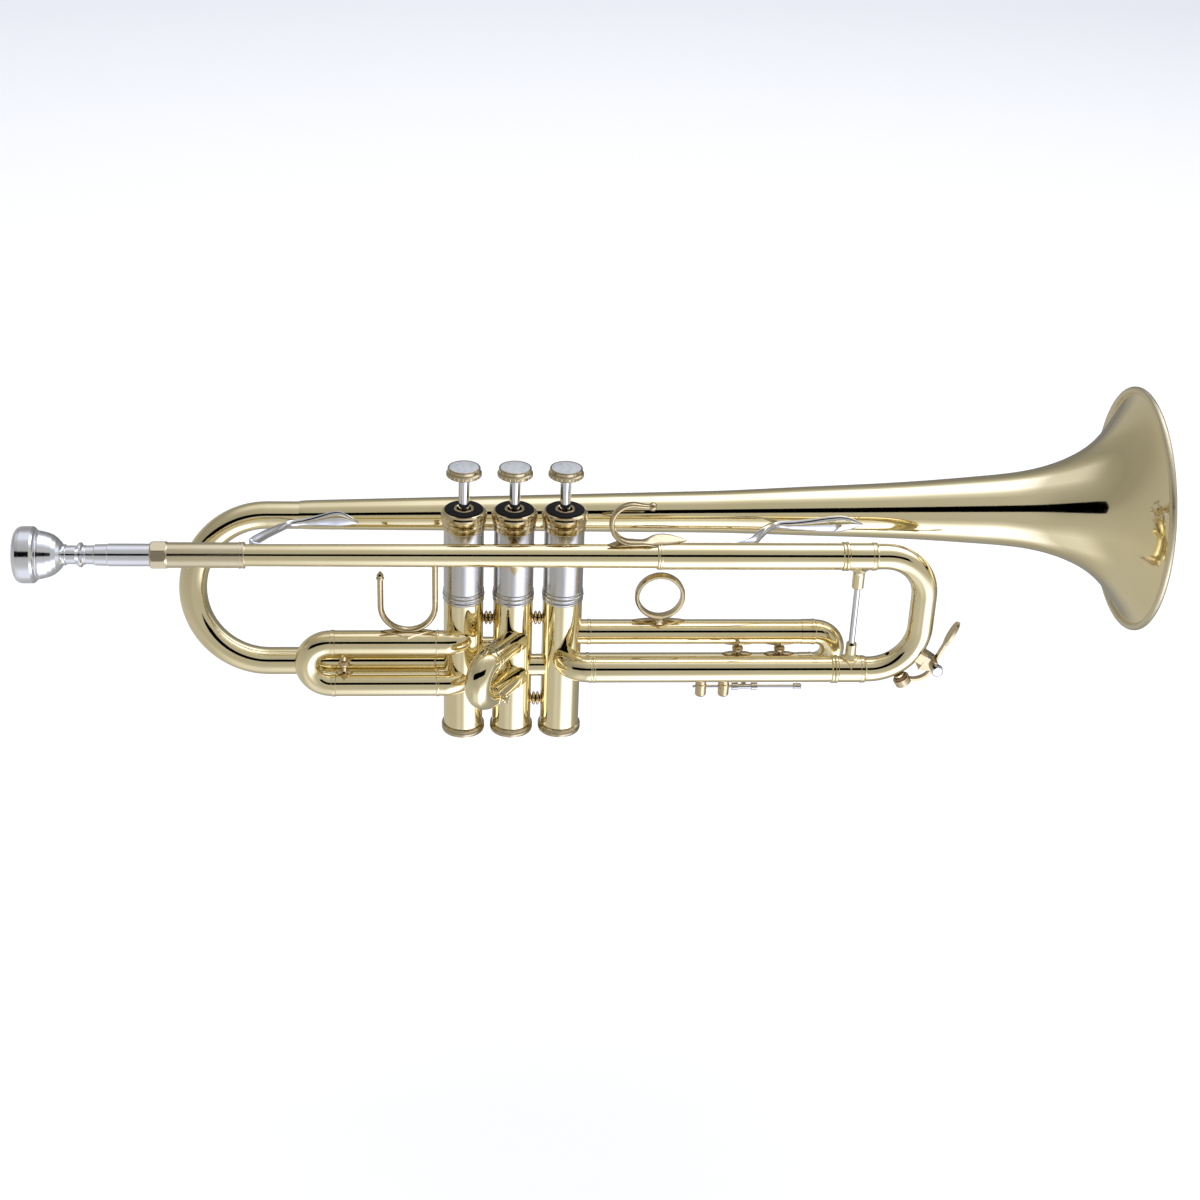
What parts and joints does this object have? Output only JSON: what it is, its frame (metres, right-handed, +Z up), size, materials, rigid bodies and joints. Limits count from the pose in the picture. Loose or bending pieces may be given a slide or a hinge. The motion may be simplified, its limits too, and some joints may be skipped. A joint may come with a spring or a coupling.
{
  "type": "trumpet",
  "caption": "Piston-valve trumpet with a flared bell, sprung valves, sliding tuning tubes, finger hook and ring, thumb saddle, water key and removable mouthpiece.",
  "frame": {"origin": "on the middle valve's axis, level with the leadpipe, where the left hand grips the valve block", "axes": "+X towards the bell, +Y from the leadpipe side to the bell side, +Z up along the valves"},
  "size_m": [0.5463, 0.125, 0.1744],
  "materials": {
    "brass": "polished, clear lacquer",
    "brass_trim": "polished cast and turned brass, lacquered",
    "nickel": "satin nickel silver",
    "silver": "polished silver plate",
    "felt": "pressed felt",
    "pearl": "mother of pearl",
    "spring_steel": "drawn wire",
    "guide_plastic": "moulded",
    "cork": "natural cork"
  },
  "bodies": {
    "body": {"bell": "brass", "bell_rim_bead": "brass", "bell_bow": "brass", "leadpipe": "brass", "mouthpiece_receiver": "brass", "main_tube_upper": "brass", "main_tube_lower": "brass", "main_entry_elbow": "brass", "casings_upper": "nickel", "casings_lower": "brass", "top_caps": "brass_trim", "cap_felts": "felt", "bottom_caps": "brass_trim", "valve_guides": "guide_plastic", "valve_spacers": "brass_trim", "crossover_tubes": "brass", "first_inner_tubes": "brass", "second_port_tubes": "brass", "third_inner_tubes": "brass", "stop_posts": "brass_trim", "stop_rod": "nickel", "leadpipe_valve_brace": "brass_trim", "finger_hook": "brass_trim", "bell_brace_rear": "silver", "bell_brace_front": "silver", "valve_spring_1": "spring_steel", "valve_spring_2": "spring_steel", "valve_spring_3": "spring_steel"},
    "main_slide": {"main_slide_legs": "brass", "main_slide_bow": "brass", "main_slide_brace": "brass", "water_key_saddle": "brass_trim", "water_key_screw": "silver", "water_key_spring": "spring_steel"},
    "water_key": {"water_key_lever": "brass_trim", "water_key_cork": "cork"},
    "first_slide": {"first_slide_tubes": "brass", "first_slide_bow": "brass", "first_slide_brace": "brass_trim", "thumb_saddle": "brass_trim"},
    "second_slide": {"second_slide_legs": "brass", "second_slide_bow": "brass"},
    "third_slide": {"third_slide_tubes": "brass", "third_slide_bow": "brass", "third_slide_braces": "brass_trim", "finger_ring": "brass_trim", "stop_sleeve": "nickel"},
    "mouthpiece": {"mouthpiece": "silver"},
    "valve_1": {"piston_1": "nickel", "stem_1": "silver", "button_1": "brass_trim", "pearl_1": "pearl"},
    "valve_2": {"piston_2": "nickel", "stem_2": "silver", "button_2": "brass_trim", "pearl_2": "pearl"},
    "valve_3": {"piston_3": "nickel", "stem_3": "silver", "button_3": "brass_trim", "pearl_3": "pearl"}
  },
  "joints": [
    {"name": "valve_1_press", "type": "slide", "parent": "body", "child": "valve_1", "axis": [0, 0, -1], "range_m": [0, 0.016], "stiffness_N_per_m": 100, "springref_m": -0.02, "deforming": ["valve_spring_1"]},
    {"name": "valve_2_press", "type": "slide", "parent": "body", "child": "valve_2", "axis": [0, 0, -1], "range_m": [0, 0.016], "stiffness_N_per_m": 100, "springref_m": -0.02, "deforming": ["valve_spring_2"]},
    {"name": "valve_3_press", "type": "slide", "parent": "body", "child": "valve_3", "axis": [0, 0, -1], "range_m": [0, 0.016], "stiffness_N_per_m": 100, "springref_m": -0.02, "deforming": ["valve_spring_3"]},
    {"name": "main_tuning_slide", "type": "slide", "parent": "body", "child": "main_slide", "axis": [1, 0, 0], "range_m": [0, 0.035]},
    {"name": "first_valve_slide", "type": "slide", "parent": "body", "child": "first_slide", "axis": [-1, 0, 0], "range_m": [0, 0.025]},
    {"name": "second_valve_slide", "type": "slide", "parent": "body", "child": "second_slide", "axis": [-0.5621, -0.8271, 0], "range_m": [0, 0.01]},
    {"name": "third_valve_slide", "type": "slide", "parent": "body", "child": "third_slide", "axis": [1, 0, 0], "range_m": [0, 0.018]},
    {"name": "mouthpiece_pull", "type": "slide", "parent": "body", "child": "mouthpiece", "axis": [-1, 0, 0], "range_m": [0, 0.03]},
    {"name": "water_key_hinge", "type": "hinge", "parent": "main_slide", "child": "water_key", "pos_m": [0.2077, -0.0206, -0.0587], "axis": [0, -1, 0], "range_deg": [0, 20], "stiffness_Nm_per_rad": 0.02, "springref_deg": -28.65}
  ]
}
